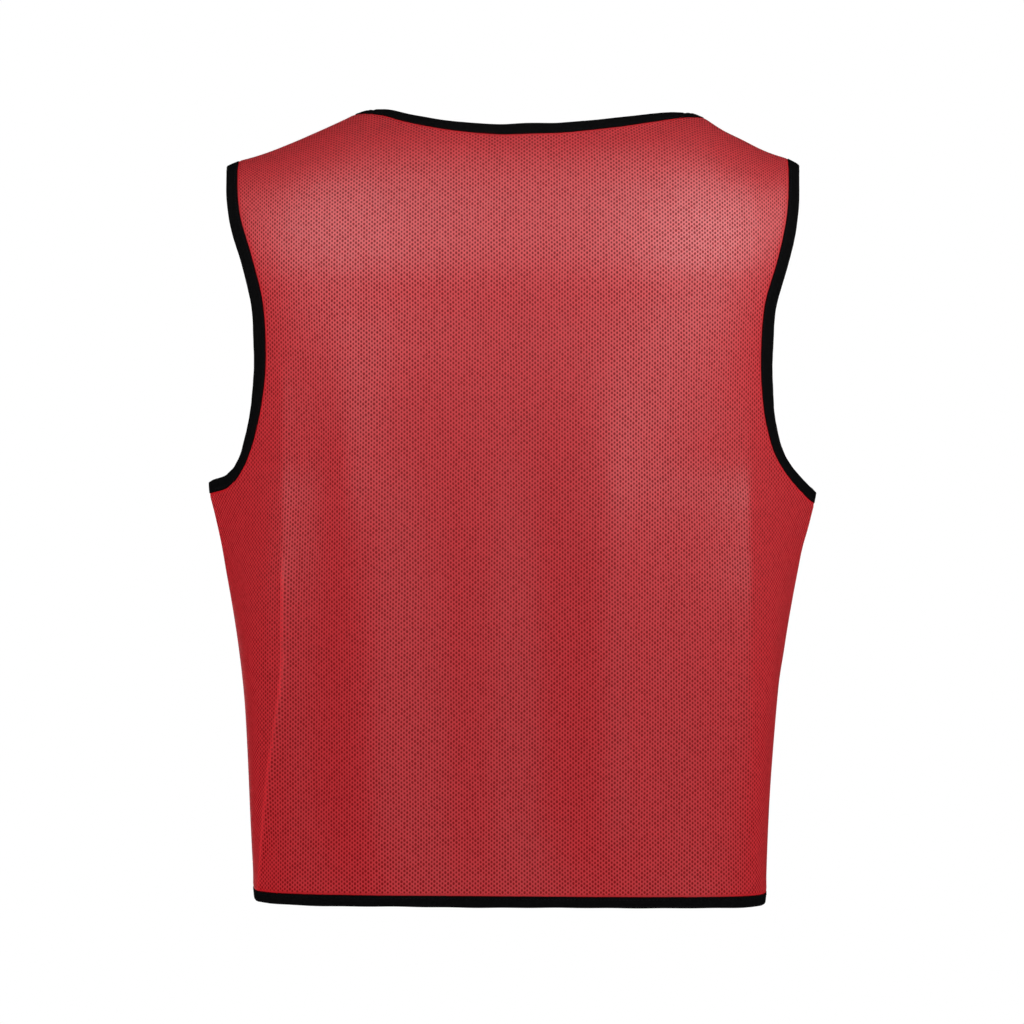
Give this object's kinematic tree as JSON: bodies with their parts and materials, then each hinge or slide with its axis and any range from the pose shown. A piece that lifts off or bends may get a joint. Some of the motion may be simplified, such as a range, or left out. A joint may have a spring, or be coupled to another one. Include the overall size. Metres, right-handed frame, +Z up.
{
  "type": "training bib",
  "caption": "Sleeveless mesh training bib worn over a shirt, wide round neck, deep armholes, straight hem, bound edges, held open in its worn shape.",
  "frame": {"origin": "between the shoulders, midway through the wearer from back to front, at the height of the middle of the shoulder seams", "axes": "+Z up the wearer's body, +Y the way the wearer faces, +X to the wearer's right, so the back panel is on the -Y side and the wearer's left armhole is at -X"},
  "size_m": [0.5185, 0.24, 0.6735],
  "materials": {
    "mesh_cloth_red": "matt knitted polyester mesh, red, with rows of small holes",
    "binding_tape_black": "matt knitted polyester binding tape, black"
  },
  "bodies": {
    "root": {"back_panel": "mesh_cloth_red", "front_panel": "mesh_cloth_red", "neck_binding": "binding_tape_black", "armhole_binding_left": "binding_tape_black", "armhole_binding_right": "binding_tape_black", "hem_binding": "binding_tape_black"}
  },
  "joints": []
}
